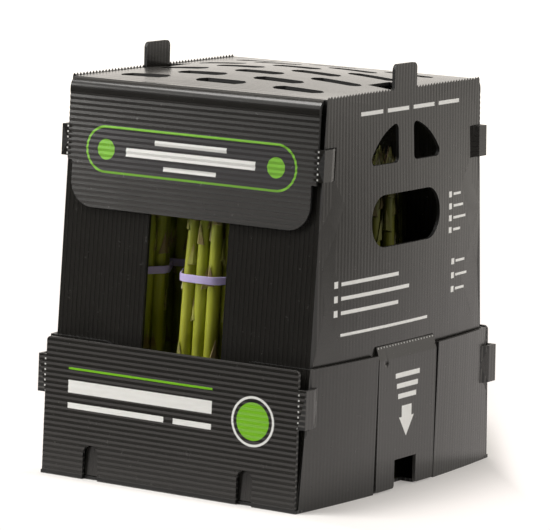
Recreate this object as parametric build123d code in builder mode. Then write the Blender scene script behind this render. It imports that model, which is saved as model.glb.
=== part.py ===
from build123d import *
import os
from math import atan2, cos, degrees, radians, sin

os.makedirs("parts", exist_ok=True)

# Millimetres, +Z up, origin on the ground under the middle of the box, front towards -Y.

# Fluted sheet and its clearances
sheet = 2.5  # thickness of the sheet
layer_gap = 0.4  # between two layers of sheet that lie on one another
slide_gap = 0.4  # between the box top and the tray it slides out of
overrun = 20.0  # how far a cutting shape runs past what it cuts

# Box top: walls
box_height = 280.0  # ground to the upper face of the top panel
half_width = 106.3  # middle of the box to a side panel's corner
top_half_depth = 100.5  # middle of the box to the front wall, at the top
wall_lean_share = 0.0703  # run of the front and back walls for each unit of drop
side_bow = 6.0  # bulge of the side panels, low down
middle_bow_share = 0.75  # part of that bulge at middle_height
middle_height = 190.0
panel_end = 86.0  # lower edge of the half panels
leg_half_depth = 111.0  # the side panels' legs reach this far to the front and back
window_width = 67.0  # between the two half panels of a wall
panel_head_gap = 8.0  # between a half panel's upper edge and the top panel
top_crown = 6.0  # rise of the arched top panel in its middle

# Box top: vents, stacking tabs and side holes
vent_length = 39.5
vent_width = 13.0
vent_corner = 4.2  # cut off a vent's corners
vent_pitch_x = 32.0
vent_pitch_y = 48.0
stack_tab_width = 29.0
stack_tab_height = 18.0
stack_tab_radius = 4.0
stack_hole_depth = 20.0
hand_hole_width = 90.0
hand_hole_height = 36.5
hand_hole_radius = 17.0
hand_hole_middle = 190.7
fan_hole_width = 96.0
fan_hole_height = 29.0
fan_hole_base = 230.0
fan_hole_bar = 20.0  # sheet left standing in the middle of the fan
fan_hole_radius = 4.0

# Box top: hood flaps over the front and back walls
hood_width = 208.0
hood_lower_width = 200.0
hood_step = 222.0  # height at which the flap steps in under its ears
hood_end = 190.0
hood_corner_radius = 18.0
hood_fold_radius = 8.0
hood_fold_room = 2.5  # how far the fold stands off the wall
rib_pitch = 3.8
rib_depth = 0.5
hood_ear_bottom = 224.5
hood_ear_height = 22.0
hood_ear_length = 22.0

# Ears of the hood and of the tray
ear_stand_off = 0.8  # between a corner and the ear that goes round it
ear_run = 7.0  # how far an ear lies on the side before its slit
ear_tuck = 3.5  # how far a hood ear goes in past the corner line

# Pull tabs
pull_width = 76.0
pull_crease = 104.0  # height of the perforated crease
pull_end = 1.0
pull_side_gap = 2.0
pull_joggle = 10.0  # drop over which the tab steps out to the tray's face
pull_notch_width = 28.5
pull_notch_height = 20.0
pull_corner_radius = 2.0

# Base tray
tray_height = 98.0
foot_flare = 8.56  # how much further out a side wall reaches at the floor than at its rim
front_lean_share = 0.0255  # run of the front wall for each unit of rise
front_taper = 1.0  # how much narrower each end of the front wall is at the rim
front_corner_radius = 3.0
corner_flap_length = 58.0
corner_flap_radius = 15.0
arch_width = 13.0
arch_height = 24.5
arch_spacing = 130.0
tray_ear_bottom = 58.0
tray_ear_height = 27.0
tray_ear_length = 17.0
stack_slot_margin = 1.5  # room round another box's stacking tab in the floor

# Bunches of asparagus
bunch_rows = 4
bunch_gap = 0.8  # between bunches from front to back
column_gap = 4.0  # between bunches from side to side
front_gap = 13.4  # between the bunches of the looser front row
wall_clearance = 1.0
spear_length = 226.0
spear_gap = 0.2
shoulder_share = 0.82  # height of a spear's shoulder in its length
shoulder_width_share = 0.9
tip_width_share = 0.22
tip_drop_shares = (0.0, 0.022, 0.036, 0.01, 0.03)
band_height = 145.0
band_width = 5.5
band_thickness = 1.2
band_clearance = 0.3
band_corner_share = 0.5  # cut off a band's corners, in shares of its distance from the outer spears' middles

# Directions and angles
six = 6  # sides of a spear's section, and of a bunch's outline
sixth_turn = 360.0 / six
ring_count = 2  # rings of spears round the middle one


def wall_half_depth(height):
    """Outer face of the leaning front wall, measured from the middle of the box."""
    return top_half_depth + wall_lean_share * (box_height - height)


def hood_half_depth(height):
    """Inner face of a hood flap, which lies on the wall at its end and stands off it at the fold."""
    rise_share = (height - hood_end) / (box_height - hood_end)
    lower = wall_half_depth(hood_end)
    upper = wall_half_depth(box_height) + hood_fold_room
    return layer_gap + lower + rise_share * (upper - lower)


# Bulge of the sides as one large circle on each side, shared by legs, tray walls and floor
end_half_depth = wall_half_depth(panel_end)
side_rim = end_half_depth + slide_gap + sheet
side_base = side_rim + foot_flare
tray_half_depth = side_base + layer_gap + sheet
leg_radius = (end_half_depth**2 + side_bow**2) / (2 * side_bow)
bulge_centre = half_width + side_bow - leg_radius
tray_inner_radius = leg_radius + slide_gap
tray_outer_radius = tray_inner_radius + sheet
full_reach = half_width + side_bow + overrun
full_depth = tray_half_depth + overrun


def wall_section(height, bow, inset):
    """Plan of the box top's walls at one height: straight front and back, bulging sides."""
    x = half_width - inset
    y = wall_half_depth(height) - inset
    with BuildSketch(Plane.XY.offset(height)) as section:
        with BuildLine():
            Line((-x, -y), (x, -y))
            Line((x, y), (-x, y))
            if bow:
                ThreePointArc((x, -y), (x + bow, 0), (x, y))
                ThreePointArc((-x, y), (-x - bow, 0), (-x, -y))
            else:
                Line((x, -y), (x, y))
                Line((-x, y), (-x, -y))
        make_face()
    return section.sketch


def wall_sections(inset):
    """The three plans that the walls are lofted through."""
    return [
        wall_section(box_height, 0, inset),
        wall_section(middle_height, middle_bow_share * side_bow, inset),
        wall_section(panel_end, side_bow, inset),
    ]


def panel_section(depth, rise):
    """Section of the top panel across the box: a strip of sheet arched from side to side."""
    reach = half_width - sheet / 2
    with BuildSketch(Plane.XZ.offset(depth)) as section:
        with BuildLine():
            for face in (box_height, box_height - sheet):
                if rise:
                    ThreePointArc((-reach, face), (0, face + rise), (reach, face))
                else:
                    Line((-reach, face), (reach, face))
            for end in (-reach, reach):
                Line((end, box_height - sheet), (end, box_height))
        make_face()
    return section.sketch


def bulged_plan(radius, half_depth, height):
    """Plan between two bulging sides of the given radius, cut straight at front and back."""
    with BuildSketch(Plane.XY.offset(height)) as plan:
        Rectangle(2 * full_reach, 2 * half_depth)
        with Locations((bulge_centre, 0)):
            Circle(radius, mode=Mode.INTERSECT)
        with Locations((-bulge_centre, 0)):
            Circle(radius, mode=Mode.INTERSECT)
    return plan.sketch


def mirrored(shape, *planes):
    """A shape's mirror image about each plane in turn."""
    for plane in planes:
        shape = shape.mirror(plane)
    return shape


def corners(shape):
    """A front right piece at all four corners of the box."""
    return [
        shape,
        mirrored(shape, Plane.YZ),
        mirrored(shape, Plane.XZ),
        mirrored(shape, Plane.YZ, Plane.XZ),
    ]


# Hood flap over the front wall: ribbed along its length, with a soft fold to the top panel
rib_count = int((box_height - hood_fold_radius - hood_end) / rib_pitch)
rib_top = hood_end + rib_count * rib_pitch
rib_points = []
for step in range(2 * rib_count + 1):
    rib_z = rib_top - step * rib_pitch / 2
    rib_points.append((-hood_half_depth(rib_z) - sheet + (step % 2) * rib_depth, rib_z))
hood_root = top_half_depth - 2 * sheet
hood_outer = hood_half_depth(box_height) + sheet
hood_inner = hood_half_depth(box_height - sheet)

with BuildPart() as hood:
    with BuildSketch(Plane.YZ):
        with BuildLine():
            FilletPolyline(
                (-hood_root, box_height), (-hood_outer, box_height), rib_points[0], radius=hood_fold_radius
            )
            Polyline(rib_points)
            Line(rib_points[-1], (-hood_half_depth(hood_end), hood_end))
            FilletPolyline(
                (-hood_half_depth(hood_end), hood_end),
                (-hood_inner, box_height - sheet),
                (-hood_root, box_height - sheet),
                radius=hood_fold_radius - sheet,
            )
            Line((-hood_root, box_height - sheet), (-hood_root, box_height))
        make_face()
    extrude(amount=hood_width / 2, both=True)
    with BuildSketch(Plane.XZ) as outline:
        with BuildLine():
            Polyline(
                (-hood_width / 2, box_height + overrun),
                (-hood_width / 2, hood_step),
                (-hood_lower_width / 2, hood_step),
                (-hood_lower_width / 2, hood_end),
                (hood_lower_width / 2, hood_end),
                (hood_lower_width / 2, hood_step),
                (hood_width / 2, hood_step),
                (hood_width / 2, box_height + overrun),
                close=True,
            )
        make_face()
        fillet(outline.vertices().group_by(Axis.Y)[0], radius=hood_corner_radius)
    extrude(amount=full_depth, both=True, mode=Mode.INTERSECT)

# Ear of the hood, which goes round the corner and into the side panel
hood_ear_y = -hood_half_depth(hood_ear_bottom) + rib_depth / 2
hood_ear_rise = hood_half_depth(hood_ear_bottom) - hood_half_depth(hood_ear_bottom + hood_ear_height)
hood_ear_x = half_width + ear_stand_off


def hood_ear_shape(room):
    """The ear itself, or with room round it the slit that it goes through."""
    with BuildPart() as ear:
        with BuildSketch(Plane.XY.offset(hood_ear_bottom - room)):
            with BuildLine():
                Polyline(
                    (hood_width / 2 - sheet, hood_ear_y),
                    (hood_ear_x, hood_ear_y),
                    (hood_ear_x, hood_ear_y + ear_run),
                    (half_width - ear_tuck - sheet / 2, hood_ear_y + hood_ear_length),
                )
                offset(amount=sheet, kind=Kind.INTERSECTION, side=Side.RIGHT)
            make_face()
            if room:
                offset(amount=room, kind=Kind.INTERSECTION)
        extrude(amount=hood_ear_height + 2 * room, dir=(0, hood_ear_rise, hood_ear_height))
    return ear.part


hood_ear = hood_ear_shape(0)
hood_slit = hood_ear_shape(layer_gap)

# Vent in the top panel
with BuildSketch() as vent:
    Rectangle(vent_length, vent_width)
    chamfer(vent.vertices(), length=vent_corner)

# Box top: one folded sheet
leg_cut_depth = full_depth - leg_half_depth
panel_top = box_height - sheet - panel_head_gap
with BuildPart() as box_top:
    loft(wall_sections(0), ruled=True)
    loft(wall_sections(sheet), ruled=True, mode=Mode.SUBTRACT)
    # The side panels go on as legs to the tray's floor, with the pull tabs cut out of them
    rim = box_top.faces().filter_by(Plane.XY).sort_by(Axis.Z)[0]
    extrude(rim, amount=panel_end - sheet, dir=(0, 0, -1))
    with BuildSketch(Plane.YZ):
        for side in (-1, 1):
            with Locations((side * (leg_half_depth + leg_cut_depth / 2), panel_end / 2)):
                Rectangle(leg_cut_depth, panel_end)
        Rectangle(pull_width + 2 * layer_gap, pull_crease, align=(Align.CENTER, Align.MIN))
    extrude(amount=full_reach, both=True, mode=Mode.SUBTRACT)
    # Windows between the half panels, which hang from the side panels alone
    with BuildSketch(Plane.XZ):
        Rectangle(window_width, panel_top, align=(Align.CENTER, Align.MIN))
        with Locations((0, panel_top)):
            Rectangle(2 * (half_width - sheet), panel_head_gap, align=(Align.CENTER, Align.MIN))
    extrude(amount=full_depth, both=True, mode=Mode.SUBTRACT)
    # Hand hole, and above it a fan-shaped hole with a bar down its middle
    with BuildSketch(Plane.YZ) as side_holes:
        with BuildLine():
            Line((-fan_hole_width / 2, fan_hole_base), (fan_hole_width / 2, fan_hole_base))
            ThreePointArc(
                (fan_hole_width / 2, fan_hole_base),
                (0, fan_hole_base + fan_hole_height),
                (-fan_hole_width / 2, fan_hole_base),
            )
        make_face()
        Rectangle(fan_hole_bar, 2 * box_height, mode=Mode.SUBTRACT)
        fillet(side_holes.vertices(), radius=fan_hole_radius)
        with Locations((0, hand_hole_middle)):
            RectangleRounded(hand_hole_width, hand_hole_height, hand_hole_radius)
    extrude(amount=full_reach, both=True, mode=Mode.SUBTRACT)
    # Top panel, crowned in its middle
    loft([panel_section(-hood_root, 0), panel_section(0, top_crown), panel_section(hood_root, 0)])
    # Staggered vents in the top panel, and the holes that the stacking tabs were cut from
    with BuildSketch(Plane.XY.offset(box_height)):
        with GridLocations(2 * vent_pitch_x, vent_pitch_y, 3, 4):
            add(vent.sketch_local)
        with GridLocations(2 * vent_pitch_x, vent_pitch_y, 2, 3):
            add(vent.sketch_local)
        with GridLocations(2 * (half_width - sheet) - stack_hole_depth, 0, 2, 1):
            Rectangle(stack_hole_depth, stack_tab_width)
    extrude(amount=top_crown + 2 * sheet, both=True, mode=Mode.SUBTRACT)
    # Stacking tabs stand up from the side panels
    with BuildSketch(Plane.YZ.offset(half_width - sheet)) as stack_tab:
        with Locations((0, box_height - sheet)):
            Rectangle(stack_tab_width, sheet + stack_tab_height, align=(Align.CENTER, Align.MIN))
        fillet(stack_tab.vertices().group_by(Axis.Y)[-1], radius=stack_tab_radius)
    tab = extrude(amount=sheet)
    add(mirrored(tab, Plane.YZ))
    add(corners(hood_slit), mode=Mode.SUBTRACT)
    add([hood.part, mirrored(hood.part, Plane.XZ)])
    add(corners(hood_ear))
box_top.part.label = "box_top"
export_step(box_top.part, "parts/box_top.step")

# Pull tabs: hinged at the crease, stepped out to lie flush with the tray's side
crease_x = half_width + side_bow
pull_face = crease_x + slide_gap + sheet
with BuildPart() as pull_tab_right:
    with BuildSketch(Plane.XZ):
        with BuildLine():
            Polyline(
                (crease_x - sheet, pull_crease - layer_gap),
                (crease_x, pull_crease - layer_gap),
                (pull_face, pull_crease - pull_joggle),
                (pull_face, pull_end),
                (pull_face - sheet, pull_end),
                (pull_face - sheet, pull_crease - pull_joggle),
                close=True,
            )
        make_face()
    extrude(amount=pull_width / 2, both=True)
    with BuildSketch(Plane.YZ):
        with Locations((0, pull_end)):
            Rectangle(pull_notch_width, 2 * pull_notch_height)
    extrude(amount=full_reach, mode=Mode.SUBTRACT)
    fillet(
        pull_tab_right.edges().filter_by(Axis.X).group_by(Axis.Z)[0],
        radius=pull_corner_radius,
    )
pull_tab_right.part.label = "pull_tab_right"
export_step(pull_tab_right.part, "parts/pull_tab_right.step")

pull_tab_left = mirrored(pull_tab_right.part, Plane.YZ)
pull_tab_left.label = "pull_tab_left"
export_step(pull_tab_left, "parts/pull_tab_left.step")

# Tray: side walls, slanting in at their front and back edges, open where the pull tab lies
pull_room = pull_width + 2 * pull_side_gap
with BuildPart() as tray_sides:
    extrude(bulged_plan(tray_outer_radius, tray_half_depth, 0), amount=tray_height)
    extrude(bulged_plan(tray_inner_radius, full_depth, -overrun), amount=box_height, mode=Mode.SUBTRACT)
    with BuildSketch(Plane.YZ):
        with BuildLine():
            Polyline(
                (-side_base, 0),
                (side_base, 0),
                (side_rim, tray_height),
                (-side_rim, tray_height),
                close=True,
            )
        make_face()
        Rectangle(pull_room, 2 * box_height, mode=Mode.SUBTRACT)
    extrude(amount=full_reach, both=True, mode=Mode.INTERSECT)

# Tray: flap folded in behind the front wall from the side wall's slanting edge
side_lean_share = (side_base - side_rim) / tray_height
flap_foot = sheet + layer_gap
flap_foot_y = side_base - side_lean_share * flap_foot
flap_end_x = half_width - corner_flap_length
with BuildPart() as corner_flap:
    with BuildSketch(Plane.YZ):
        with BuildLine():
            Polyline(
                (-flap_foot_y, flap_foot),
                (-side_rim, tray_height),
                (-side_rim + sheet, tray_height),
                (-flap_foot_y + sheet, flap_foot),
                close=True,
            )
        make_face()
    extrude(amount=full_reach)
    extrude(bulged_plan(tray_outer_radius, full_depth, -overrun), amount=box_height, mode=Mode.INTERSECT)
    with BuildSketch(Plane.XZ) as flap_outline:
        with BuildLine():
            Polyline(
                (flap_end_x, -overrun),
                (full_reach, -overrun),
                (full_reach, tray_height),
                (flap_end_x, tray_height),
                close=True,
            )
        make_face()
        fillet(
            flap_outline.vertices().group_by(Axis.X)[0].sort_by(Axis.Y)[-1], radius=corner_flap_radius
        )
    extrude(amount=full_depth, both=True, mode=Mode.INTERSECT)

# Tray: front wall with its two arched cut-outs
front_rim = tray_half_depth - front_lean_share * tray_height
front_base_half = half_width + slide_gap
front_rim_half = front_base_half - front_taper
with BuildPart() as front_wall:
    with BuildSketch(Plane.YZ):
        with BuildLine():
            Polyline(
                (-tray_half_depth, 0),
                (-front_rim, tray_height),
                (-front_rim + sheet, tray_height),
                (-tray_half_depth + sheet, 0),
                close=True,
            )
        make_face()
    extrude(amount=full_reach, both=True)
    with BuildSketch(Plane.XZ) as front_outline:
        with BuildLine():
            Polyline(
                (-front_base_half, 0),
                (front_base_half, 0),
                (front_rim_half, tray_height),
                (-front_rim_half, tray_height),
                close=True,
            )
        make_face()
        fillet(front_outline.vertices().group_by(Axis.Y)[-1], radius=front_corner_radius)
        with GridLocations(arch_spacing, 0, 2, 1):
            SlotOverall(2 * arch_height, arch_width, rotation=90, mode=Mode.SUBTRACT)
    extrude(amount=full_depth, mode=Mode.INTERSECT)

# Ear of the tray's front wall: round the corner and into a slit in the side wall
tray_ear_y = -tray_half_depth + front_lean_share * tray_ear_bottom + sheet
tray_corner_x = half_width + slide_gap + sheet
tray_ear_x = tray_corner_x + ear_stand_off
with BuildPart() as tray_ear:
    with BuildSketch(Plane.XY.offset(tray_ear_bottom)):
        with BuildLine():
            Polyline(
                (front_rim_half - sheet, tray_ear_y),
                (tray_ear_x, tray_ear_y),
                (tray_ear_x, tray_ear_y + ear_run),
                (tray_corner_x - sheet, tray_ear_y + tray_ear_length),
            )
            offset(amount=sheet, kind=Kind.INTERSECTION, side=Side.RIGHT)
        make_face()
    extrude(amount=tray_ear_height, dir=(0, front_lean_share, 1))
    extrude(bulged_plan(tray_inner_radius, full_depth, -overrun), amount=box_height, mode=Mode.SUBTRACT)

# Base tray: one folded sheet
with BuildPart() as base_tray:
    extrude(bulged_plan(tray_outer_radius, tray_half_depth, 0), amount=sheet)
    with BuildSketch():
        with GridLocations(2 * full_reach, 0, 2, 1):
            Rectangle(2 * (full_reach - crease_x + layer_gap), pull_room)
            Rectangle(
                2 * (full_reach - half_width + sheet + stack_slot_margin),
                stack_tab_width + 2 * stack_slot_margin,
            )
        with GridLocations(arch_spacing, 2 * tray_half_depth, 2, 2):
            Rectangle(arch_width, 2 * sheet)
    extrude(amount=sheet, mode=Mode.SUBTRACT)
    add(tray_sides.part)
    add(corners(corner_flap.part))
    add([front_wall.part, mirrored(front_wall.part, Plane.XZ)])
    add(corners(tray_ear.part))
base_tray.part.label = "base_tray"
export_step(base_tray.part, "parts/base_tray.step")

# Bunches: spears of one bunch stand in two rings round the middle one
half_turn_lift = sin(radians(sixth_turn))
room_at_tips = wall_half_depth(spear_length + sheet) - sheet - wall_clearance
bunch_half_depth = (2 * room_at_tips - (bunch_rows - 1) * bunch_gap) / (2 * bunch_rows)
band_room = band_thickness + band_clearance
corner_share = 0.5 / cos(radians(sixth_turn / 2))  # spear pitch to a spear's corner
spear_pitch = (bunch_half_depth - band_room) / (ring_count * half_turn_lift + corner_share)
spear_half = (spear_pitch - spear_gap) / 2
bunch_half_width = (ring_count + corner_share) * spear_pitch + band_room
column_pitch = 2 * bunch_half_width + column_gap
column_room = half_width - sheet - wall_clearance - bunch_half_width
front_pitch = 2 * bunch_half_width + front_gap
front_columns = (column_room - 2 * front_pitch, column_room - front_pitch, column_room)
even_columns = (-column_pitch, 0, column_pitch)
back_columns = (-column_pitch / 2, column_pitch / 2)
row_columns = (front_columns, even_columns, even_columns, back_columns)
shoulder_half = shoulder_width_share * spear_half
tip_half = tip_width_share * spear_half
spear_foot = sheet + 2 * layer_gap


def bunch_y(row, height):
    """Middle of a row of bunches at one height: the rows fan out as the walls do."""
    row_share = 2 * row / (bunch_rows - 1) - 1
    room = wall_half_depth(height) - sheet - wall_clearance - bunch_half_depth
    return row_share * room


def spear_plane(x, y, row):
    """Foot of one spear, square to the lean of its row."""
    lean = bunch_y(row, box_height) - bunch_y(row, 0)
    return Plane(
        origin=(x, bunch_y(row, spear_foot) + y, spear_foot),
        x_dir=(1, 0, 0),
        z_dir=(0, lean, box_height),
    )


def bunch_outline(x, row, grow):
    """Outline round a bunch at its band."""
    with BuildSketch(Plane.XY.offset(band_height)) as outline:
        with Locations((x, bunch_y(row, band_height + band_width / 2))):
            RegularPolygon(ring_count * spear_pitch, six)
        offset(amount=grow, kind=Kind.INTERSECTION)
        chamfer(outline.vertices(), length=band_corner_share * grow)
    return outline.sketch


spear_places = [
    ((column + line / 2) * spear_pitch, line * half_turn_lift * spear_pitch)
    for line in range(-ring_count, ring_count + 1)
    for column in range(-ring_count, ring_count + 1)
    if abs(line + column) <= ring_count
]
bunch_number = 0
for row, columns in enumerate(row_columns):
    for bunch_x in columns:
        bunch_number += 1
        with BuildPart() as bunch:
            for turn, drop_share in enumerate(tip_drop_shares):
                length = spear_length * (1 - drop_share)
                shoulder = shoulder_share * length
                feet = [
                    spear_plane(bunch_x + spear_x, spear_y, row)
                    for place, (spear_x, spear_y) in enumerate(spear_places)
                    if (place + bunch_number) % len(tip_drop_shares) == turn
                ]
                with BuildSketch(*feet):
                    RegularPolygon(spear_half, six, major_radius=False, rotation=sixth_turn / 2)
                extrude(amount=shoulder, taper=degrees(atan2(spear_half - shoulder_half, shoulder)))
                with BuildSketch(*[foot.offset(shoulder) for foot in feet]):
                    RegularPolygon(shoulder_half, six, major_radius=False, rotation=sixth_turn / 2)
                tip = length - shoulder
                extrude(amount=tip, taper=degrees(atan2(shoulder_half - tip_half, tip)))
        bunch.part.label = f"asparagus_bunch_{bunch_number}"
        export_step(bunch.part, f"parts/{bunch.part.label}.step")

        inner_grow = corner_share * spear_pitch + band_clearance
        with BuildPart() as band:
            extrude(bunch_outline(bunch_x, row, inner_grow + band_thickness), amount=band_width)
            extrude(bunch_outline(bunch_x, row, inner_grow), amount=band_width, mode=Mode.SUBTRACT)
        band.part.label = f"rubber_band_{bunch_number}"
        export_step(band.part, f"parts/{band.part.label}.step")
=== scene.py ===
import math
import random

import bmesh
import bpy
from mathutils import Matrix, Vector
from mathutils.bvhtree import BVHTree


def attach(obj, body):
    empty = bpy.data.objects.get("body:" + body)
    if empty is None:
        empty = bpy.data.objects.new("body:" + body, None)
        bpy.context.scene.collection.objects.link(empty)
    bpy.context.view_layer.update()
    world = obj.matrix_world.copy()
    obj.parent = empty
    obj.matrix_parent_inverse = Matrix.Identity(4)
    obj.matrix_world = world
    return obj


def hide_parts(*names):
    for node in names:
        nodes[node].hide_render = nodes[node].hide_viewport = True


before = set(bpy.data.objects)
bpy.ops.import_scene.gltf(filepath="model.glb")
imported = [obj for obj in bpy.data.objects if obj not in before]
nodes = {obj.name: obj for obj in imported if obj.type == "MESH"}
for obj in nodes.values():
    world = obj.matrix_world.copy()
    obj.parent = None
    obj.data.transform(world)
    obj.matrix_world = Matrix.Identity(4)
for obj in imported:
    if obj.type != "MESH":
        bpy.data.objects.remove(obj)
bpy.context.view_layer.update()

# Sizes of the folded sheets, in metres, as in the part's source
SHEET = 0.0025
HALF_WIDTH = 0.1063
TOP_HALF_DEPTH = 0.1005
WALL_LEAN = 0.0703
BOX_HEIGHT = 0.280
PANEL_TOP = 0.2695
HOOD_ROOT = 0.0955
EAR_REACH = 0.0008
EAR_FROM = 0.085  # ears lie further from the middle than this, front and back
FOLD_START = 0.2720
TRAY_HEIGHT = 0.098
TRAY_HALF_DEPTH = 0.1285
FRONT_LEAN = 0.0255
RIM_FLARE = 0.0016  # how far the tray's sides stand off at the middle of their rim
PULL_JOGGLE_END = 0.094  # height at which a pull tab has stepped out to the tray's face
PULL_BEND_END = 0.088
DENT_PLACE = Vector((0.1152, -0.0284, 0.0918))
DENT_RADIUS = 0.0024
DENT_DEPTH = 0.0010
DENT_RINGS = 3

# Flutes of the sheet
FLUTE_PITCH = 0.0038
PANEL_FLUTE_DEPTH = 0.00006
HALF_PANEL_FLUTE_DEPTH = 0.00010
FRONT_FLUTE_DEPTH = 0.00016
TOOTH_HEIGHT = 0.0018  # how far the webs stand up along the fold of the side panels
STACK_TAB_HALF = 0.0150
CUT_REACH = 0.13  # half the length over which flute lines are cut
FACING = 0.9  # a face's normal along an axis, where it counts as facing it
THICK_SHARE = 1.4  # a face with more behind it than this, in sheets, is a cut edge

# Degrees between faces that still shade as one
SHARP_FLUTES = 2
SHARP_EDGES = 40
SHARP_SCALES = 50

# Spears
SPEAR_RADIUS = 0.0050
SPEAR_LENGTH = 0.226
SPEAR_FOOT = 0.0033
BAND_MIDDLE = 0.1478
BAND_ROUNDING = 0.0004
ROW_REACH = 0.0916  # middle of the box to the front row's feet

TOLERANCE = 0.0002  # between places that count as the same
FOLD_TOLERANCE = 0.0005
MERGE_DISTANCE = 1e-6
RAY_START = 1e-5  # under the skin, where its thickness is measured

X, Y, Z = Vector((1, 0, 0)), Vector((0, 1, 0)), Vector((0, 0, 1))


# Selecting and editing


def choose(piece):
    """Makes a piece the only one selected."""
    bpy.ops.object.select_all(action="DESELECT")
    piece.select_set(True)
    bpy.context.view_layer.objects.active = piece


def smooth(piece, degrees):
    """Smooth shading, sharp where faces meet at more than an angle."""
    choose(piece)
    bpy.ops.object.shade_smooth_by_angle(angle=math.radians(degrees))


def dress(piece, body, material, slot, *replaced):
    """Gives a finished piece its material and body, and hides the CAD parts that it replaces."""
    piece.data.materials.clear()
    piece.data.materials.append(material)
    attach(piece, body)
    if replaced:
        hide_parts(*replaced)
    return piece


# Shader maths


class Value:
    """A socket of a material's nodes; sums and products of values add Math nodes."""

    def __init__(self, recipe, socket):
        self.recipe = recipe
        self.socket = socket

    def maths(self, operation, *others, clamp=False):
        sockets = dict(enumerate((self, *others)))
        return self.recipe.node("ShaderNodeMath", {"operation": operation, "use_clamp": clamp}, sockets)

    def __add__(self, other):
        return self.maths("ADD", other)

    def __sub__(self, other):
        return self.maths("SUBTRACT", other)

    def __mul__(self, other):
        return self.maths("MULTIPLY", other)

    def __truediv__(self, other):
        return self.maths("DIVIDE", other)

    def __rsub__(self, other):
        return (self * -1) + other

    __radd__ = __add__
    __rmul__ = __mul__

    def __abs__(self):
        return self.maths("ABSOLUTE")

    def most(self, other):
        return self.maths("MAXIMUM", other)

    def under(self, edge, blur):
        """1 where the value is under an edge, 0 over it, with a blurred step."""
        return self.recipe.node(
            "ShaderNodeMapRange",
            {"interpolation_type": "SMOOTHSTEP"},
            {"Value": self, "From Min": edge - blur, "From Max": edge + blur, "To Min": 1.0, "To Max": 0.0},
        )

    def over(self, edge, blur):
        return 1 - self.under(edge, blur)


class Recipe:
    """A material made of nodes."""

    def __init__(self, name):
        self.material = bpy.data.materials.new(name)
        self.material.use_nodes = True
        self.tree = self.material.node_tree
        self.shader = self.tree.nodes["Principled BSDF"]

    def node(self, kind, settings=None, sockets=None, output=0):
        """Adds a node: its settings first, then the values or links of its sockets."""
        made = self.tree.nodes.new(kind)
        for key, setting in (settings or {}).items():
            if key == "stops":
                ramp = made.color_ramp
                while len(ramp.elements) < len(setting):
                    ramp.elements.new(0.5)
                for element, (place, colour) in zip(ramp.elements, setting):
                    element.position = place
                    element.color = (*colour, 1.0)
            else:
                setattr(made, key, setting)
        for key, given in (sockets or {}).items():
            self.feed(made.inputs[key], given)
        return Value(self, made.outputs[output])

    def feed(self, socket, given):
        if isinstance(given, Value):
            self.tree.links.new(given.socket, socket)
        elif isinstance(given, tuple) and len(given) == 3 and socket.type == "RGBA":
            socket.default_value = (*given, 1.0)
        else:
            socket.default_value = given

    def place(self):
        """Object coordinates, as one vector and as three values."""
        spot = self.node("ShaderNodeTexCoord", output="Object")
        return spot, [self.node("ShaderNodeSeparateXYZ", sockets={0: spot}, output=i) for i in range(3)]

    def attribute(self, name, output="Fac"):
        return self.node("ShaderNodeAttribute", {"attribute_name": name}, output=output)

    def noise(self, vector, scale, detail=3.0, roughness=0.55):
        sockets = {"Vector": vector, "Scale": scale, "Detail": detail, "Roughness": roughness}
        return self.node("ShaderNodeTexNoise", sockets=sockets, output="Fac")

    def mix(self, share, first, second):
        """Two colours mixed by a share."""
        return self.node(
            "ShaderNodeMix", {"data_type": "RGBA"}, {"Factor": share, "A": first, "B": second}, output=2
        )

    def stretched(self, vector, scale):
        return self.node("ShaderNodeVectorMath", {"operation": "MULTIPLY"}, {0: vector, 1: scale})

    def bump(self, height, strength, distance):
        sockets = {"Height": height, "Strength": strength, "Distance": distance}
        return self.node("ShaderNodeBump", sockets=sockets)

    def dot(self, first, second):
        sockets = {0: first, 1: second}
        return self.node("ShaderNodeVectorMath", {"operation": "DOT_PRODUCT"}, sockets, "Value")

    def finish(self, **sockets):
        for name, given in sockets.items():
            self.feed(self.shader.inputs[name.replace("_", " ")], given)
        return self.material


# Print: fields of colour and simple shapes on the sheets

WHITE_INK = (0.86, 0.86, 0.84)
GREEN_INK = (0.20, 0.52, 0.02)
FIELD_BLACK = (0.017, 0.016, 0.018)
INK_BLUR = 0.00025
PRINT_EDGE_BLUR = 0.0002  # at the ends of a panel that carries print

# Skin and cut edges of the sheet, with painted shade along the webs, in the open cells and on the box top's
# cut edges; webs and cells are given as shares of a flute
SHEET_BLACK = (0.0165, 0.0155, 0.0140)
SCUFF_GREY = (0.16, 0.155, 0.15)
# a paler grey for the cut edges of the tray and the pull tabs
PALE_CUT_EDGE = (0.075, 0.072, 0.068)
# painted shade: the box top's cut edges, darker than its skin, so that its vents and hood edges look shaded
SHADED_CUT_EDGE = (0.014, 0.0135, 0.013)
# painted shade inside the open cells of a cut edge
CELL_SHADE = (0.005, 0.005, 0.005)
STREAK_SCALE = 900.0
CLOUD_SCALE = 22.0
SCUFF_SCALE = 160.0
SCUFF_SHARE = 0.08
GRAIN_SCALE = 420.0
SHEET_BUMP = 0.03
BUMP_DISTANCE = 0.0004
WEB_START = 0.40
WEB_BLUR = 0.08
CELL_HALF = 0.33
CELL_BLUR = 0.06

# Perforations along a crease, as shares of a flute, and the rows that they stand in
PERFORATION_HALF = 0.17
PERFORATION_BLUR = 0.06
DOT_ROW_BLUR = 0.0004
EAR_DOT_HALF = 0.0006
PULL_DOT_HALF = 0.0005
HOOD_DOT_INK = 0.8
TRAY_DOT_INK = 0.7
PULL_DOT_INK = 0.5

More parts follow.
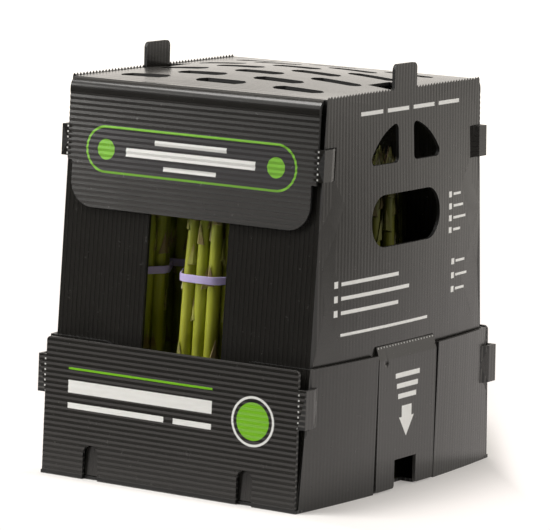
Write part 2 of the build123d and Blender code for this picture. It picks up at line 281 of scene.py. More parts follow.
# Hood: a plaque with bars and discs; a bar is given by its left, right, low and high edges
PLAQUE_HEIGHT = 0.2315
PLAQUE_HALF_LENGTH = 0.088
PLAQUE_HALF_HEIGHT = 0.0165
PLAQUE_RIM_INSET = 0.0007
PLAQUE_RIM_HALF = 0.0008
HOOD_DISC_PLACES = (-0.071, 0.071)
HOOD_DISC_RADIUS = 0.0072
HOOD_BARS = (
    (-0.030, 0.030, 0.2375, 0.2410),
    (-0.054, 0.054, 0.2280, 0.2340),
    (-0.022, 0.022, 0.2205, 0.2235),
)
HOOD_PRINT_MARGIN = 0.0008
HOOD_PRINT_HALF = 0.1038
HOOD_CREASE = 0.1046  # middle of the box to the crease of a hood ear
HOOD_CREASE_DEPTH = 0.1035
HOOD_CREASE_BLUR = 0.0003
HOOD_EAR_MIDDLE = 0.2355
HOOD_EAR_HALF = 0.011

# Side panels: a heading, lists of boxes to tick, each with a bar beside it, and a last line
HEADING_BARS = 4
HEADING_START = -0.058
HEADING_LENGTH = 0.028
HEADING_STEP = 0.034
HEADING_LOW = 0.2655
HEADING_HIGH = 0.2682
LAST_LINE = (-0.080, 0.030, 0.1160, 0.1180)
SIDE_PRINT_LOW = 0.104
TICK_LISTS = (
    {"rows": 4, "top": 0.1985, "step": 0.0085, "box": (0.0590, 0.0630, 0.0042),
     "line": (0.0655, 0.0760, 0.0012, 0.0030), "longer": 0.004, "cycle": 3},
    {"rows": 3, "top": 0.1500, "step": 0.0100, "box": (-0.0880, -0.0838, 0.0046),
     "line": (-0.0800, -0.0100, 0.0010, 0.0036), "longer": 0.014, "cycle": 2},
    {"rows": 3, "top": 0.1500, "step": 0.0100, "box": (0.0640, 0.0682, 0.0042),
     "line": (0.0705, 0.0840, 0.0012, 0.0030), "longer": 0.004, "cycle": 2},
)

# Tray front: bars, a green stripe and a ringed green disc
TRAY_BARS = (
    (-0.086, 0.036, 0.0600, 0.0690),
    (-0.086, -0.004, 0.0490, 0.0530),
    (0.004, 0.036, 0.0490, 0.0530),
)
TRAY_STRIPE = (-0.086, 0.036, 0.0765, 0.0780)
TRAY_DISC_X = 0.070
TRAY_DISC_Z = 0.0590
TRAY_RING_OUTER = 0.0175
TRAY_RING_INNER = 0.0158
TRAY_DISC_RADIUS = 0.0132
TRAY_PRINT_MARGIN = 0.0035
TRAY_CREASE = 0.1066
TRAY_EAR_MIDDLE = 0.0715
TRAY_EAR_HALF = 0.0135

# Pull tabs: three bars over an arrow that points down
ARROW_STEM = (-0.0065, 0.0065, 0.0500, 0.0585)
ARROW_TIP = 0.0365
ARROW_TOP = 0.0505
ARROW_REACH = 0.02
ARROW_SLOPE = 0.70
NOTE_BARS = 3
NOTE_HALF = 0.016
NOTE_SHORTER = 0.002
NOTE_TOP = 0.0790
NOTE_STEP = 0.0075
NOTE_THICK = 0.0035
PULL_FACE = 0.1140
PULL_DOTS_Z = 0.1025
PULL_DOTS_REACH = 0.037

# Asparagus and rubber; the stops are shares of a stalk's height
STALK_STOPS = [
    (0.00, (0.58, 0.58, 0.34)),
    (0.12, (0.46, 0.47, 0.08)),
    (0.45, (0.42, 0.43, 0.022)),
    (0.72, (0.34, 0.36, 0.025)),
    (0.90, (0.15, 0.19, 0.035)),
    (1.00, (0.12, 0.085, 0.065)),
]
FIBRE_GREEN = (0.50, 0.54, 0.12)
DEEP_GREEN = (0.28, 0.33, 0.015)
LEAF_GREEN = (0.42, 0.44, 0.11)
LEAF_VIOLET = (0.24, 0.15, 0.10)
# painted shade: the darker green that the bunches at the right-hand side are mixed towards
SHADE_GREEN = (0.050, 0.043, 0.010)
FIBRE_SCALE = (900.0, 900.0, 26.0)
BLOTCH_SCALE = 70.0
RUBBER_DARK = (0.46, 0.38, 0.70)
RUBBER_LIGHT = (0.58, 0.51, 0.80)
DUST_SCALE = 240.0


def bar(across, up, left, right, low, high):
    """A rectangle of ink."""
    wide = abs(across - (left + right) / 2).under((right - left) / 2, INK_BLUR)
    tall = abs(up - (low + high) / 2).under((high - low) / 2, INK_BLUR)
    return wide * tall


def pill(across, up, half_length, half_height, height):
    """Distance to the middle line of a bar with round ends, less its half height."""
    beyond = (abs(across) - (half_length - half_height)).most(0.0)
    rise = up - height
    return (beyond * beyond + rise * rise).maths("SQRT") - half_height


def disc(across, up, middle, height, radius):
    """A round spot of ink."""
    dx, dz = across - middle, up - height
    return (dx * dx + dz * dz).maths("SQRT").under(radius, INK_BLUR)


def joined(masks):
    """The greatest of several masks."""
    total = masks[0]
    for mask in masks[1:]:
        total = total.most(mask)
    return total


def fluted_sheet(name, print_of, edge_colour):
    """Satin black fluted sheet: painted shade along the flute lines and in the open cells on its cut edges,
    scuffs and print.
    """
    recipe = Recipe(name)
    spot, (x, y, z) = recipe.place()
    cut = recipe.attribute("cut")
    printed = recipe.attribute("outer") * (1 - cut)
    across = recipe.dot(spot, recipe.attribute("across", "Vector"))
    phase = (across / FLUTE_PITCH).maths("FRACT")
    # painted shade: the skin is darkened along the webs, as the shade of the flutes
    web = abs(phase - 0.5).over(WEB_START, WEB_BLUR)
    stripe = recipe.node("ShaderNodeCombineXYZ", sockets={0: across * STREAK_SCALE})
    streak = recipe.noise(stripe, 1.0, 2.0)
    cloud = recipe.noise(spot, CLOUD_SCALE)
    scuff = recipe.noise(spot, SCUFF_SCALE, 5.0, 0.7).over(0.66, 0.05)
    shade = 0.85 + 0.3 * streak + 0.2 * cloud - 0.35 * web
    skin = recipe.node(
        "ShaderNodeMix",
        {"data_type": "RGBA", "blend_type": "MULTIPLY"},
        {"Factor": 1.0, "A": SHEET_BLACK, "B": shade},
        output=2,
    )
    skin = recipe.mix(scuff * SCUFF_SHARE, skin, SCUFF_GREY)
    white, green, field = print_of(x, y, z)
    if field:
        skin = recipe.mix(field * printed, skin, FIELD_BLACK)
    if green:
        skin = recipe.mix(green * printed, skin, GREEN_INK)
    skin = recipe.mix(white * printed, skin, WHITE_INK)
    # painted shade in the open cells of the cut edges
    cells = abs(phase - 0.5).under(CELL_HALF, CELL_BLUR) * recipe.attribute("open_cells")
    edge = recipe.mix(cells, edge_colour, CELL_SHADE)
    rough = 0.17 + 0.08 * cloud + 0.10 * scuff + 0.3 * cut
    height = streak * 0.3 + recipe.noise(spot, GRAIN_SCALE, 2.0) * 0.3
    return recipe.finish(
        Base_Color=recipe.mix(cut, skin, edge),
        Roughness=rough,
        Normal=recipe.bump(height, SHEET_BUMP, BUMP_DISTANCE),
    )


def dots(along, middle, reach, line, half_line):
    """Perforations at flute pitch along a crease."""
    spots = abs((along / FLUTE_PITCH).maths("FRACT") - 0.5).under(PERFORATION_HALF, PERFORATION_BLUR)
    row = abs(along - middle).under(reach, DOT_ROW_BLUR)
    return spots * row * line.under(half_line, PRINT_EDGE_BLUR)


def tick_list(y, z, rows, top, step, box, line, longer, cycle):
    """Boxes to tick, one under another, each with a bar in the place of its words."""
    marks = []
    for row in range(rows):
        low = top - step * row
        marks.append(bar(y, z, box[0], box[1], low, low + box[2]))
        marks.append(bar(y, z, line[0], line[1] + longer * (row % cycle), low + line[2], low + line[3]))
    return marks


def box_top_print(x, y, z):
    """White, green and dark ink on the hoods and the side panels."""
    side = abs(x).over(HALF_WIDTH - 2 * SHEET, PRINT_EDGE_BLUR) * z.over(SIDE_PRINT_LOW, PRINT_EDGE_BLUR)
    below_fold = z.under(BOX_HEIGHT - SHEET / 2, PRINT_EDGE_BLUR)
    front = abs(y).over(TOP_HALF_DEPTH - HOOD_PRINT_MARGIN, PRINT_EDGE_BLUR) * below_fold
    front = front * abs(x).under(HOOD_PRINT_HALF, PRINT_EDGE_BLUR)
    plaque = pill(x, z, PLAQUE_HALF_LENGTH, PLAQUE_HALF_HEIGHT, PLAQUE_HEIGHT)
    rim = abs(plaque + PLAQUE_RIM_INSET).under(PLAQUE_RIM_HALF, INK_BLUR)
    discs = [disc(x, z, place, PLAQUE_HEIGHT, HOOD_DISC_RADIUS) for place in HOOD_DISC_PLACES]
    hood_bars = joined([bar(x, z, *edges) for edges in HOOD_BARS]) * front
    marks = [bar(y, z, *LAST_LINE)]
    for i in range(HEADING_BARS):
        left = HEADING_START + HEADING_STEP * i
        marks.append(bar(y, z, left, left + HEADING_LENGTH, HEADING_LOW, HEADING_HIGH))
    for ticks in TICK_LISTS:
        marks += tick_list(y, z, **ticks)
    ear_crease = dots(z, HOOD_EAR_MIDDLE, HOOD_EAR_HALF, abs(abs(x) - HOOD_CREASE), EAR_DOT_HALF)
    ear_crease = ear_crease * abs(y).over(HOOD_CREASE_DEPTH, HOOD_CREASE_BLUR)
    white = joined([hood_bars, joined(marks) * side, ear_crease * HOOD_DOT_INK])
    return white, joined([rim, *discs]) * front, plaque.under(0.0, INK_BLUR) * front


def tray_print(x, y, z):
    """White and green ink on the tray's front and back."""
    front = abs(y).over(TRAY_HALF_DEPTH - TRAY_PRINT_MARGIN, PRINT_EDGE_BLUR)
    outer, inner, middle = [
        disc(x, z, TRAY_DISC_X, TRAY_DISC_Z, radius)
        for radius in (TRAY_RING_OUTER, TRAY_RING_INNER, TRAY_DISC_RADIUS)
    ]
    ear_crease = dots(z, TRAY_EAR_MIDDLE, TRAY_EAR_HALF, abs(abs(x) - TRAY_CREASE), EAR_DOT_HALF)
    bars = [bar(x, z, *edges) for edges in TRAY_BARS]
    white = joined([*bars, outer - inner, ear_crease * TRAY_DOT_INK])
    green = joined([middle, bar(x, z, *TRAY_STRIPE)])
    return white * front, green * front, None


def pull_tab_print(x, y, z):
    """White ink on the pull tabs."""
    head = (abs(y) - (z - ARROW_TIP) * ARROW_SLOPE).under(0.0, INK_BLUR)
    head = head * bar(y, z, -ARROW_REACH, ARROW_REACH, ARROW_TIP, ARROW_TOP)
    bars = [bar(y, z, *ARROW_STEM), head]
    for i in range(NOTE_BARS):
        reach = NOTE_HALF - NOTE_SHORTER * i
        low = NOTE_TOP - NOTE_STEP * i
        bars.append(bar(y, z, -reach, reach, low, low + NOTE_THICK))
    crease = dots(y, 0.0, PULL_DOTS_REACH, abs(z - PULL_DOTS_Z), PULL_DOT_HALF) * PULL_DOT_INK
    return joined(bars) * abs(x).over(PULL_FACE, PRINT_EDGE_BLUR) + crease, None, None


def asparagus_green():
    """Fresh stalks: yellow-green and smooth below, darker with violet scales towards the tip; painted shade
    darkens the bunches at the right-hand side.
    """
    recipe = Recipe("asparagus_green")
    spot, (x, y, z) = recipe.place()
    tone = recipe.attribute("tone")
    scale_leaf = recipe.attribute("scale_leaf")
    fibre = recipe.noise(recipe.stretched(spot, FIBRE_SCALE), 1.0, 3.0)
    blotch = recipe.noise(spot, BLOTCH_SCALE, 4.0)
    rise = z / (SPEAR_LENGTH + SPEAR_FOOT) + 0.12 * (blotch - 0.5)
    stalk = recipe.node("ShaderNodeValToRGB", {"stops": STALK_STOPS}, {0: rise})
    stalk = recipe.mix(fibre.over(0.55, 0.2) * 0.35, stalk, FIBRE_GREEN)
    stalk = recipe.mix(tone * 0.40, stalk, DEEP_GREEN)
    leaf = recipe.mix(blotch.over(0.5, 0.12), LEAF_GREEN, LEAF_VIOLET)
    skin = recipe.mix(scale_leaf * 0.8, stalk, leaf)
    skin = recipe.mix(recipe.attribute("dull") * 0.75, skin, SHADE_GREEN)
    rough = 0.36 + 0.18 * blotch
    return recipe.finish(
        Base_Color=skin,
        Roughness=rough,
        Normal=recipe.bump(fibre, 0.25, BUMP_DISTANCE),
    )


def lavender_rubber():
    """Matte rubber with a little dust on it."""
    recipe = Recipe("lavender_rubber")
    spot, _ = recipe.place()
    dust = recipe.noise(spot, DUST_SCALE, 4.0)
    colour = recipe.mix(dust, RUBBER_DARK, RUBBER_LIGHT)
    return recipe.finish(Base_Color=colour, Roughness=0.5 + 0.2 * dust, Normal=recipe.bump(dust, 0.2, 0.0002))


# Folded sheets: a copy of each CAD sheet, cut along its flutes and gently bent


def wall_depth(height):
    """Outer face of the leaning front wall."""
    return TOP_HALF_DEPTH + WALL_LEAN * (BOX_HEIGHT - height)


def box_top_flutes(normal, spot):
    """Axis across the flutes of a face of the box top, and how deep they sink."""
    if abs(spot.y) > wall_depth(spot.z) + TOLERANCE and abs(normal.z) < 0.95:
        return Z, 0.0
    if abs(normal.y) > FACING and spot.z < PANEL_TOP:
        return X, HALF_PANEL_FLUTE_DEPTH
    ear = abs(spot.y) > EAR_FROM and abs(spot.x) > HALF_WIDTH + EAR_REACH
    return (Z, 0.0) if ear else (Y, PANEL_FLUTE_DEPTH)


def tray_flutes(normal, spot):
    """Axis across the flutes of a face of the tray, and how deep they sink."""
    front = TRAY_HALF_DEPTH - FRONT_LEAN * spot.z
    if abs(spot.y) > front - SHEET - TOLERANCE and abs(normal.z) < 0.5:
        return Z, FRONT_FLUTE_DEPTH
    if abs(normal.y) > FACING:
        return X, 0.0
    return Y, PANEL_FLUTE_DEPTH


def pull_tab_flutes(normal, spot):
    """Axis across the flutes of a pull tab; they are pressed flat on the step under its crease."""
    return Y, PANEL_FLUTE_DEPTH if spot.z < PULL_JOGGLE_END else 0.0


def isolate_flutes(piece, axis):
    """Leaves only the faces with flutes across an axis in sight, for cutting."""
    sheet = bmesh.from_edit_mesh(piece.data)
    across, depth = sheet.faces.layers.float_vector["across"], sheet.faces.layers.float["depth"]
    for face in sheet.faces:
        face.select_set(face[depth] > 0 and (face[across] - axis).length < 0.5)
    bmesh.update_edit_mesh(piece.data)
    bpy.ops.mesh.hide(unselected=True)


def cut_lines(axis, places):
    """Cuts the faces in sight along planes square to an axis."""
    for place in places:
        bpy.ops.mesh.select_all(action="SELECT")
        bpy.ops.mesh.bisect(plane_co=axis * place, plane_no=axis)


def lines(reach, step):
    """Places a step apart, from minus the reach to the reach."""
    count = int(reach / step)
    return [step * i for i in range(-count, count + 1)]


def merged_copy(node, name):
    """A copy of a CAD solid with its points merged and its own shading, left in edit mode."""
    piece = bpy.data.objects.new(name, nodes[node].data.copy())
    bpy.context.scene.collection.objects.link(piece)
    choose(piece)
    bpy.ops.object.mode_set(mode="EDIT")
    bpy.ops.mesh.select_mode(type="FACE")
    bpy.ops.mesh.select_all(action="SELECT")
    bpy.ops.mesh.remove_doubles(threshold=MERGE_DISTANCE)
    bpy.ops.mesh.customdata_custom_splitnormals_clear()
    return piece


def sheet_copy(node, flutes_of):
    """A merged copy of a CAD sheet that knows its flutes and its cut edges."""
    piece = merged_copy(node, f"{node}_sheet")
    sheet = bmesh.from_edit_mesh(piece.data)
    across = sheet.faces.layers.float_vector.new("across")
    depth = sheet.faces.layers.float.new("depth")
    cut = sheet.faces.layers.float.new("cut")
    outer = sheet.faces.layers.float.new("outer")
    open_cells = sheet.faces.layers.float.new("open_cells")
    skins = BVHTree.FromBMesh(sheet)
    for face in sheet.faces:
        spot, normal = face.calc_center_median(), face.normal
        lead = max(range(3), key=lambda i: abs(normal[i]))
        face[outer] = float(normal[lead] * spot[lead] > 0)
        _, _, _, thickness = skins.ray_cast(spot - normal * RAY_START, -normal)
        folded = normal.z > FACING and abs(spot.z - BOX_HEIGHT) < FOLD_TOLERANCE
        face[cut] = float((thickness is None or thickness > THICK_SHARE * SHEET) and not folded)
        face[across], sink = flutes_of(normal, spot)
        face[depth] = sink if not face[cut] else 0.0
        face[open_cells] = float(abs(normal.dot(face[across])) < 0.7)
    bmesh.update_edit_mesh(piece.data)
    return piece


def wave(across):
    """0 on a web of the sheet, 1 in the middle of a flute."""
    return 1 - abs(2 * ((across / FLUTE_PITCH) % 1) - 1)


def tooth_height(spot):
    """How far a point of the fold between a side and the top panel stands up: a tooth at each web."""
    outward = (abs(spot.x) - HALF_WIDTH) / (SHEET / 2) + 1
    at_fold = abs(spot.z - BOX_HEIGHT) < TOLERANCE
    clear = STACK_TAB_HALF < abs(spot.y) < TOP_HALF_DEPTH - TOLERANCE
    return TOOTH_HEIGHT * outward * (1 - wave(spot.y)) if at_fold and clear and outward > 0 else 0.0


def sink_flutes(piece):
    """Sinks the skin between the webs, and raises the webs along the folds of the side panels."""
    sheet = bmesh.new()
    sheet.from_mesh(piece.data)
    across, depth = sheet.faces.layers.float_vector["across"], sheet.faces.layers.float["depth"]
    moves = {}
    for vertex in sheet.verts:
        groups = {}
        for face in vertex.link_faces:
            if face[depth] > 0:
                lead = max(range(3), key=lambda i: abs(face.normal[i]))
                key = (lead, face.normal[lead] > 0)
                normal, _, _ = groups.get(key, (Vector(), 0, 0))
                groups[key] = (normal + face.normal, face[depth], face[across].dot(vertex.co))
        move = Vector()
        for normal, sink, along in groups.values():
            move -= normal.normalized() * sink * wave(along)
        moves[vertex.index] = move + tooth_height(vertex.co) * Z
    for vertex in sheet.verts:
        vertex.co += moves[vertex.index]
    sheet.normal_update()
    for edge in sheet.edges:
        on_fold = all(vertex.co.z > FOLD_START and abs(vertex.co.y) > HOOD_ROOT for vertex in edge.verts)
        on_step = all(abs(vertex.co.z - PULL_JOGGLE_END) < TOLERANCE for vertex in edge.verts)
        edge.smooth = on_fold or on_step or edge.calc_face_angle(0.0) < math.radians(SHARP_FLUTES)
    sheet.to_mesh(piece.data)
    sheet.free()


def fluted_piece(node, flutes_of):
    """A CAD sheet with its flutes cut and sunk."""
    piece = sheet_copy(node, flutes_of)
    isolate_flutes(piece, Y)
    cut_lines(Y, lines(CUT_REACH, FLUTE_PITCH / 2))
    if flutes_of is pull_tab_flutes:
        cut_lines(Z, [PULL_BEND_END])
    bpy.ops.mesh.reveal(select=False)
    for axis, reach in ((X, HALF_WIDTH), (Z, BOX_HEIGHT)):
        isolate_flutes(piece, axis)
        cut_lines(axis, lines(reach, FLUTE_PITCH / 2))
        bpy.ops.mesh.reveal(select=False)
    bpy.ops.object.mode_set(mode="OBJECT")
    sink_flutes(piece)
    smooth(piece, SHARP_EDGES)
    return piece


def flare_rim(piece):
    """Bends the tray's side walls outwards towards the middle of their rim, off the box top."""
    for vertex in piece.data.vertices:
        spot = vertex.co
        if abs(spot.x) > HALF_WIDTH:
            middle_share = max(0.0, 1 - (spot.y / TRAY_HALF_DEPTH) ** 2)
            spot.x += math.copysign(RIM_FLARE * middle_share * spot.z / TRAY_HEIGHT, spot.x)


def dent(piece, place, radius, depth):
    """Presses a small round dent into a piece's skin, square to X."""
    choose(piece)
    bpy.ops.object.mode_set(mode="EDIT")
    for axis in (Y, Z):
        steps = range(-DENT_RINGS, DENT_RINGS + 1)
        cut_lines(axis, [place.dot(axis) + radius * step / DENT_RINGS for step in steps])
    bpy.ops.object.mode_set(mode="OBJECT")
    for vertex in piece.data.vertices:
        share = (vertex.co - place).length / radius
        if share < 1:
            vertex.co.x -= depth * (1 - share * share)


# Asparagus

SPEAR_PROFILE = [
    (0.00, 1.03), (0.14, 1.00), (0.36, 0.98), (0.56, 0.95), (0.68, 0.92), (0.76, 0.84),
    (0.82, 0.76), (0.88, 0.82), (0.93, 0.70), (0.97, 0.42), (1.00, 0.10),
]
# painted shade: these bunches, seen through the hand hole, are darkened in colour
SHADED_BUNCHES = (3, 6, 9)  # the bunches at the right-hand side
STALK_SCALES = [(0.10, 0.6), (0.25, 3.1), (0.40, 5.3), (0.53, 1.4), (0.63, 3.9), (0.71, 0.2), (0.77, 2.4)]
TIP_SCALES = [(0.82, 4.6), (0.85, 0.9), (0.875, 2.9), (0.90, 5.2), (0.925, 1.6), (0.95, 3.8)]
STALK_SCALE_SIZE = (0.0082, 0.0150)  # width and length
TIP_SCALE_SIZE = (0.0076, 0.0120)
SCALE_STAND_OFF = 0.00035
SCALE_LIFT = 0.0006  # how much further a scale's point stands off
SCALE_FLATNESS = 0.30
SCALE_DROOP = 0.25  # of its length, at its lower corners
SCALE_SIDES = 7
SPEAR_SIDES = 9
SPEAR_KINDS = 3
KIND_TWIST = 1.3
BUNCHES = 11
FOOT_TOP = 0.010  # points below this belong to a bunch's foot
SPEAR_PITCH = 0.0101
WIDTH_RANGE = (0.92, 1.06)
LENGTH_RANGE = (0.955, 0.995)
SWAY_X = 0.010
SWAY_Y = 0.008
SWAY_SHARE = 0.9
CURL = 0.0006
CURL_RATE = 26


def spear_radius(share):
    """Radius of a spear at a share of its length."""
    for (low, first), (high, second) in zip(SPEAR_PROFILE, SPEAR_PROFILE[1:]):
        if share <= high:
            return SPEAR_RADIUS * (first + (second - first) * (share - low) / (high - low))
    return SPEAR_RADIUS * SPEAR_PROFILE[-1][1]


def mark(piece, name, level):
    """A number on every vertex of a piece, for its material."""
    layer = piece.data.attributes.new(name, "FLOAT", "POINT")
    layer.data.foreach_set("value", [level] * len(piece.data.vertices))


def scale_leaf(share, turn, width, length):
    """A pointed scale that hugs the stalk."""
    radius = spear_radius(share)
    bpy.ops.object.select_all(action="DESELECT")
    bpy.ops.mesh.primitive_cone_add(
        vertices=SCALE_SIDES, radius1=width / 2, depth=length, end_fill_type="NGON"
    )
    leaf = bpy.context.object
    low = -length / 2
    for vertex in leaf.data.vertices:
        rise = (vertex.co.z - low) / length
        around = vertex.co.x / radius
        out = radius + SCALE_STAND_OFF + SCALE_FLATNESS * vertex.co.y + SCALE_LIFT * rise
        droop = SCALE_DROOP * length * (1 - rise) * (1 - math.cos(around))
        height = share * SPEAR_LENGTH + rise * length - droop
        vertex.co = (out * math.sin(around + turn), -out * math.cos(around + turn), height)
    mark(leaf, "scale_leaf", 1.0)
    return leaf


def spear(name, twist):
    """One spear with its scales, standing at the origin."""
    bpy.ops.object.select_all(action="DESELECT")
    bpy.ops.mesh.primitive_cylinder_add(vertices=SPEAR_SIDES, radius=SPEAR_RADIUS, depth=SPEAR_LENGTH)
    stalk = bpy.context.object
    stalk.name = name
    stalk.data.transform(Matrix.Translation((0, 0, SPEAR_LENGTH / 2)))
    bpy.ops.object.mode_set(mode="EDIT")
    cut_lines(Z, [share * SPEAR_LENGTH for share, _ in SPEAR_PROFILE[1:-1]])
    bpy.ops.object.mode_set(mode="OBJECT")
    for vertex in stalk.data.vertices:
        factor = spear_radius(vertex.co.z / SPEAR_LENGTH) / SPEAR_RADIUS
        vertex.co.x *= factor
        vertex.co.y *= factor
    mark(stalk, "scale_leaf", 0.0)
    leaves = [scale_leaf(share, turn + twist, *STALK_SCALE_SIZE) for share, turn in STALK_SCALES]
    leaves += [scale_leaf(share, turn + twist, *TIP_SCALE_SIZE) for share, turn in TIP_SCALES]
    choose(stalk)
    for leaf in leaves:
        leaf.select_set(True)
    bpy.ops.object.join()
    bpy.ops.object.shade_smooth_by_angle(angle=math.radians(SHARP_SCALES))
    return stalk


def bunch_foot(node):
    """Middle of a bunch's foot, and how far the bunch leans back for each unit of height."""
    low = [vertex.co for vertex in nodes[node].data.vertices if vertex.co.z < FOOT_TOP]
    foot = sum(low, Vector()) / len(low)
    row_share = foot.y / ROW_REACH
    return foot, -row_share * WALL_LEAN


def spear_places(pitch):
    """A middle spear and two rings round it."""
    places = []
    for row in range(-2, 3):
        for column in range(-2, 3):
            if abs(row + column) <= 2:
                places.append(((column + row / 2) * pitch, row * math.sqrt(0.75) * pitch))
    return places


def bunch(number, kinds):
    """The spears of one bunch, where its CAD solid stands."""
    node = f"asparagus_bunch_{number}"
    foot, lean = bunch_foot(node)
    chance = random.Random(number)
    copies = []
    for place_x, place_y in spear_places(SPEAR_PITCH):
        kind = chance.choice(kinds)
        copy = bpy.data.objects.new(f"{node}_spear", kind.data.copy())
        bpy.context.scene.collection.objects.link(copy)
        turn = Matrix.Rotation(chance.uniform(0, math.tau), 3, "Z")
        width, length = chance.uniform(*WIDTH_RANGE), chance.uniform(*LENGTH_RANGE)
        sway_x, sway_y = chance.uniform(-SWAY_X, SWAY_X), chance.uniform(-SWAY_Y, SWAY_Y)
        bow = chance.uniform(0, math.tau)
        for vertex in copy.data.vertices:
            spot = turn @ Vector((vertex.co.x * width, vertex.co.y * width, vertex.co.z * length))
            height = spot.z + SPEAR_FOOT
            free = SWAY_SHARE * (height - BAND_MIDDLE)
            curl = CURL * math.sin(height * CURL_RATE + bow)
            vertex.co.x = foot.x + place_x + spot.x + sway_x * free + curl
            vertex.co.y = foot.y + place_y + spot.y + lean * height + sway_y * free
            vertex.co.z = height
        mark(copy, "tone", chance.uniform(0, 1))
        mark(copy, "dull", float(number in SHADED_BUNCHES))
        copies.append(copy)
    choose(copies[0])
    for copy in copies[1:]:
        copy.select_set(True)
    bpy.ops.object.join()
    copies[0].name = f"{node}_spears"
    return copies[0]


def rubber_band(node):
    """A band with rounded edges."""
    piece = merged_copy(node, f"{node}_rounded")
    bpy.ops.mesh.dissolve_limited(angle_limit=math.radians(1))
    bpy.ops.object.mode_set(mode="OBJECT")
    bpy.ops.object.modifier_add(type="BEVEL")
    rounding = piece.modifiers[-1]
    rounding.width = BAND_ROUNDING
    rounding.segments = 2
    rounding.angle_limit = math.radians(SHARP_SCALES)
    smooth(piece, SHARP_EDGES)
    return piece


# The object

sheet_black = fluted_sheet("box_top_black", box_top_print, SHADED_CUT_EDGE)
box_top = fluted_piece("box_top", box_top_flutes)
dress(box_top, "box_top", sheet_black, "fluted_sheet", "box_top")

tray = fluted_piece("base_tray", tray_flutes)
flare_rim(tray)
dress(tray, "base_tray", fluted_sheet("tray_black", tray_print, PALE_CUT_EDGE), "fluted_sheet", "base_tray")

tab_black = fluted_sheet("pull_tab_black", pull_tab_print, PALE_CUT_EDGE)
pull_tabs = {node: fluted_piece(node, pull_tab_flutes) for node in ("pull_tab_left", "pull_tab_right")}
dent(pull_tabs["pull_tab_right"], DENT_PLACE, DENT_RADIUS, DENT_DEPTH)
for node, pull_tab in pull_tabs.items():
    dress(pull_tab, node, tab_black, "fluted_sheet", node)

green = asparagus_green()
rubber = lavender_rubber()
spear_kinds = [spear(f"spear_{i}", KIND_TWIST * i) for i in range(SPEAR_KINDS)]
for number in range(1, BUNCHES + 1):
    node = f"asparagus_bunch_{number}"
    dress(bunch(number, spear_kinds), "base_tray", green, "asparagus", node)
    node = f"rubber_band_{number}"
    dress(rubber_band(node), "base_tray", rubber, "rubber_band", node)
for kind in spear_kinds:
    bpy.data.objects.remove(kind)

# Floor, light and camera

FLOOR_RADIUS = 1.1
FLOOR_SIDES = 96
PAPER_GREY = (0.88, 0.88, 0.87)
PAPER_WHITE = (0.92, 0.92, 0.91)
PAPER_GRAIN = 40.0
FLOOR_SHIFT = 0.72  # how far the floor's middle lies behind the box, seen from the camera
NEAR_GLOW = 0.18  # share of the floor's own light beside the box
GLOW_STRENGTH = 1.12
SHADE_REACH = 0.055  # half way out of the shade on the right of the box
FRONT_REACH = 0.008  # the same before it and on its left
SHADE_END = 0.170  # where the shade ends, to the right as the camera sees it
CAMERA_AZIMUTH = math.radians(33.30)
CAMERA_ELEVATION = math.radians(8.735)
CAMERA_ROLL = math.radians(1.523)
CAMERA_DISTANCE = 2.7836
CAMERA_AIM = Vector((0, 0, 0.140))
CAMERA_LENS = 255.25
IMAGE_WIDTH = 550
SENSOR_WIDTH = 36.0
SHIFT_RIGHT = 2.04  # the picture's middle off the lens axis, in pixels
SHIFT_UP = 7.26
VIEW_END = 20.0
BACKDROP_DIRECTION = (-0.20, 0.95, 0.20)  # towards the brightest part of the backdrop
BACKDROP_COLOUR = (1.0, 0.945, 0.875, 1.0)
ROOM_LIGHT = 0.035
HALL_LIGHT = 0.42
BACKDROP_LIGHT = 0.88
SEEN_LIGHT = 1.3  # strength of the backdrop as the camera sees it
GLOW_COLOUR = (1.0, 0.94, 0.90)
LAMP_COLOUR = (1.0, 0.98, 0.95)
SHADE_END_BLUR = 0.014

# How directly a ray has to point at the backdrop for its light, and how softly that begins
HALL_EDGE = (0.20, 0.25)
BACKDROP_EDGE = (0.66, 0.18)

# Name, place, aim, size and radiance of each lamp
SOFTBOXES = (
    ("rib_softbox", (-0.37, -0.53, 0.64), (0, -0.1, 0.25), 0.42, 1.0),
    ("key_softbox", (-1.25, -0.95, 0.75), (0, 0, 0.15), 0.5, 15.0),
    ("fold_softbox", (-0.45, -0.50, 1.40), (0, 0, 0.25), 0.7, 9.0),
    ("side_softbox", (1.60, 0.10, 0.95), (0, 0, 0.15), 0.7, 7.0),
)


def seen_directly(recipe):
    """1 for rays from the camera, and for reflected and transmitted ones."""
    kinds = ("Camera", "Glossy", "Transmission")
    return joined([recipe.node("ShaderNodeLightPath", output=f"Is {kind} Ray") for kind in kinds])


bpy.ops.object.select_all(action="DESELECT")
bpy.ops.mesh.primitive_circle_add(
    vertices=FLOOR_SIDES, radius=FLOOR_RADIUS, fill_type="NGON", location=(0, 0, 0)
)
floor = bpy.context.object
floor.name = "floor"
floor.data.transform(Matrix.Translation(
    (-FLOOR_SHIFT * math.sin(CAMERA_AZIMUTH), FLOOR_SHIFT * math.cos(CAMERA_AZIMUTH), 0)
))
paper = Recipe("white_paper")
grain = paper.noise(paper.place()[0], PAPER_GRAIN)
paper.finish(Base_Color=paper.mix(grain, PAPER_GREY, PAPER_WHITE), Roughness=0.9)
glow = paper.node("ShaderNodeEmission", sockets={"Color": GLOW_COLOUR, "Strength": GLOW_STRENGTH})
_, (floor_x, floor_y, _) = paper.place()
seen_right = floor_x * math.cos(CAMERA_AZIMUTH) + floor_y * math.sin(CAMERA_AZIMUTH)
away = joined([
    (floor_x - HALF_WIDTH).over(SHADE_REACH, SHADE_REACH),
    (-1 * floor_x - HALF_WIDTH).over(FRONT_REACH, FRONT_REACH),
    (-1 * floor_y - TRAY_HALF_DEPTH).over(FRONT_REACH, FRONT_REACH),
    seen_right.over(SHADE_END, SHADE_END_BLUR),
])
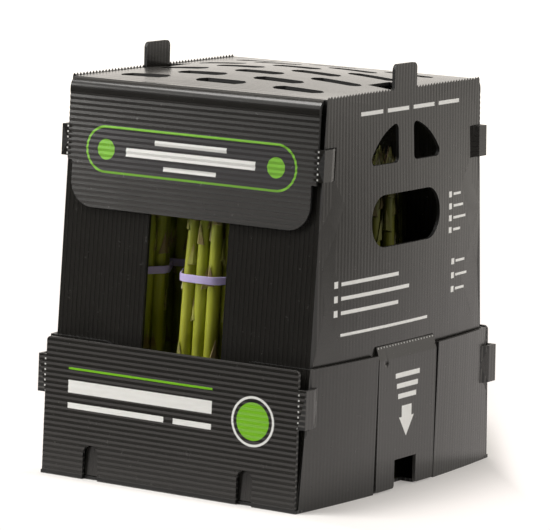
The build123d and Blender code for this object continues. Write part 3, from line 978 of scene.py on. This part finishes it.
both = paper.node(
    "ShaderNodeMixShader",
    sockets={
        0: seen_directly(paper) * (NEAR_GLOW + (1 - NEAR_GLOW) * away),
        1: Value(paper, paper.shader.outputs[0]),
        2: glow,
    },
)
paper.tree.links.new(both.socket, paper.tree.nodes["Material Output"].inputs["Surface"])
floor.data.materials.append(paper.material)

world = bpy.data.worlds.new("studio")
bpy.context.scene.world = world
world.use_nodes = True


def softbox(name, place, aim, size, radiance):
    """A square lamp of the given radiance, turned to a point."""
    lamp = bpy.data.lights.new(name, "AREA")
    lamp.size = size
    lamp.energy = math.pi * size * size * radiance
    lamp.color = LAMP_COLOUR
    box = bpy.data.objects.new(name, lamp)
    box.location = place
    box.rotation_euler = (Vector(aim) - Vector(place)).to_track_quat("-Z", "Y").to_euler()
    bpy.context.scene.collection.objects.link(box)


for settings in SOFTBOXES:
    softbox(*settings)


class Surroundings(Recipe):
    """The world's own nodes."""

    def __init__(self, owner):
        self.tree = owner.node_tree


sky = Surroundings(world)
facing = sky.node("ShaderNodeTexCoord", output="Generated")
behind = sky.dot(facing, BACKDROP_DIRECTION)
wall = ROOM_LIGHT + HALL_LIGHT * behind.over(*HALL_EDGE) + BACKDROP_LIGHT * behind.over(*BACKDROP_EDGE)
camera_ray = sky.node("ShaderNodeLightPath", output="Is Camera Ray")
backdrop = sky.tree.nodes["Background"]
backdrop.inputs["Color"].default_value = BACKDROP_COLOUR
sky.feed(backdrop.inputs["Strength"], wall.most(SEEN_LIGHT * camera_ray))

back = Vector((
    math.sin(CAMERA_AZIMUTH) * math.cos(CAMERA_ELEVATION),
    -math.cos(CAMERA_AZIMUTH) * math.cos(CAMERA_ELEVATION),
    math.sin(CAMERA_ELEVATION),
))
level = Vector((math.cos(CAMERA_AZIMUTH), math.sin(CAMERA_AZIMUTH), 0))
right = math.cos(CAMERA_ROLL) * level + math.sin(CAMERA_ROLL) * back.cross(level)
up = back.cross(right)
lens = bpy.data.cameras.new("camera")
lens.sensor_width = SENSOR_WIDTH
lens.lens = CAMERA_LENS
lens.shift_x = SHIFT_RIGHT / IMAGE_WIDTH
lens.shift_y = SHIFT_UP / IMAGE_WIDTH
lens.clip_end = VIEW_END
camera = bpy.data.objects.new("camera", lens)
bpy.context.scene.collection.objects.link(camera)
turn = Matrix((right, up, back)).transposed().to_4x4()
camera.matrix_world = Matrix.Translation(CAMERA_AIM + back * CAMERA_DISTANCE) @ turn
bpy.context.scene.camera = camera
bpy.context.scene.view_settings.view_transform = "Standard"

bpy.context.view_layer.update()
